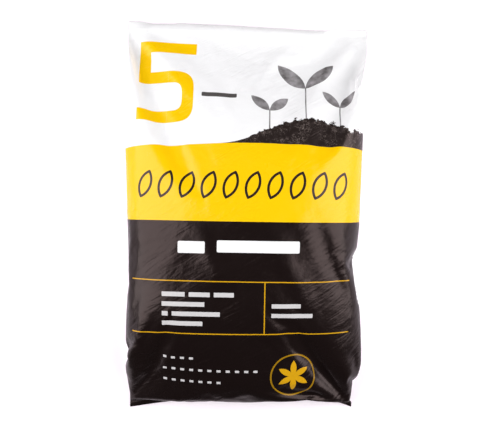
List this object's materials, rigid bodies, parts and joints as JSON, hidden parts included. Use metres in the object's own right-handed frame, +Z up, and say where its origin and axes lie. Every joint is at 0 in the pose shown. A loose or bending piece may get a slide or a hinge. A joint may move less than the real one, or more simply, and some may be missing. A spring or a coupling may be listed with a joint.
{
  "type": "compost bag",
  "caption": "Sealed pillow bag of printed plastic film filled with loose potting compost, lying on its back.",
  "frame": {"origin": "on the surface that the bag lies on, under the middle of its length and width", "axes": "+Z up out of the printed face, +Y along the bag from its foot to its head, +X across the bag to the right of the print"},
  "size_m": [0.26, 0.416, 0.0684],
  "materials": {
    "printed_film": "glossy polythene film printed in white, yellow and black fields"
  },
  "bodies": {
    "root": {"filled_bag": "printed_film"}
  },
  "joints": []
}
